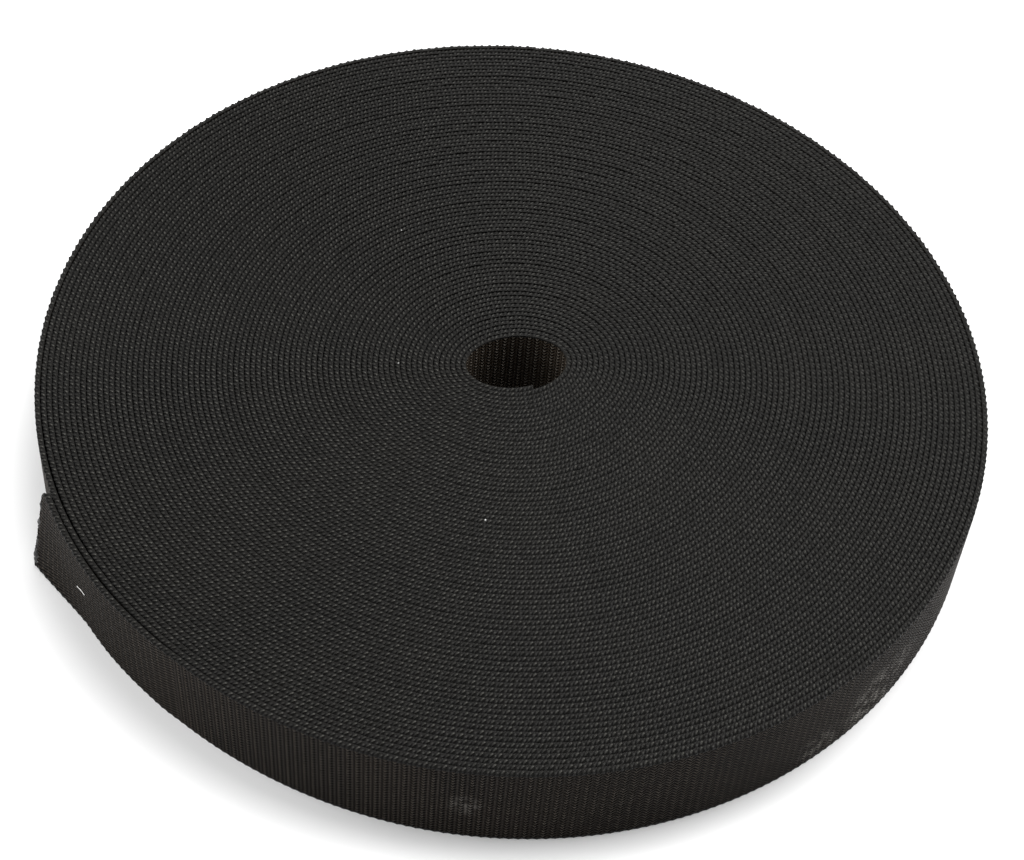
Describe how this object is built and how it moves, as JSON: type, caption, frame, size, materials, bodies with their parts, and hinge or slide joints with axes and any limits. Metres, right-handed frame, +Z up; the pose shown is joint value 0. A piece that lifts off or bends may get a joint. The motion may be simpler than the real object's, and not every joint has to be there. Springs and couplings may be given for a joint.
{
  "type": "roll of polypropylene webbing",
  "caption": "Coreless flat-wound roll of narrow black webbing with an oval hole at its middle and its outer end sprung free, for sewn straps and ties.",
  "frame": {"origin": "centre of the roll's footprint, on the surface that it lies on", "axes": "+Z up along the winding axis, +X to the right and +Y away from the viewer of the picture, the loose end at the front left"},
  "size_m": [0.2088, 0.2094, 0.025],
  "materials": {
    "webbing": "Matt black spun polypropylene, close ribbed weave with a faint sheen on the rib crowns and the selvedge loops."
  },
  "bodies": {
    "root": {"webbing_roll": "webbing", "loose_end": "webbing"}
  },
  "joints": []
}
